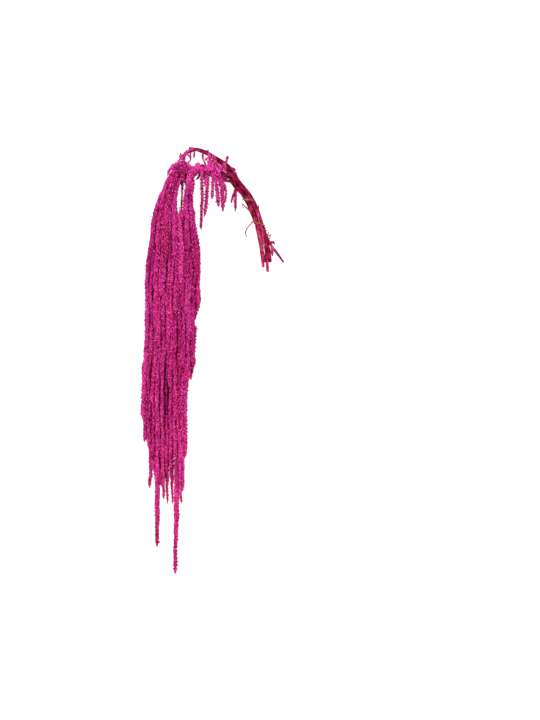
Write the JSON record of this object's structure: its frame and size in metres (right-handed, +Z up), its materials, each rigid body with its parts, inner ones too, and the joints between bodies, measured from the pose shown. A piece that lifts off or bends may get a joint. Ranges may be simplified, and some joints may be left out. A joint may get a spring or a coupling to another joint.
{
  "type": "dried hanging amaranth bunch",
  "caption": "Tied bunch of dried hanging amaranth: bare stalks arch over into long drooping ropes of small flowers.",
  "frame": {"origin": "middle of the bunch's outline as it lies, on the surface that it rests on", "axes": "+Y along the bunch from the lowest tip to the top of the arch, +X towards the cut ends, +Z up from the surface"},
  "size_m": [0.2147, 0.6427, 0.0446],
  "materials": {
    "flowers": "dry granular fuchsia flower tufts",
    "stalks": "dry ribbed crimson stalk, satin",
    "ties": "matt tan band"
  },
  "bodies": {
    "root": {"head_1": "flowers", "head_2": "flowers", "head_3": "flowers", "head_4": "flowers", "head_5": "flowers", "stalk_1": "stalks", "stalk_2": "stalks", "stalk_3": "stalks", "stalk_4": "stalks", "stalk_5": "stalks", "tie_1": "ties", "tie_2": "ties"}
  },
  "joints": []
}
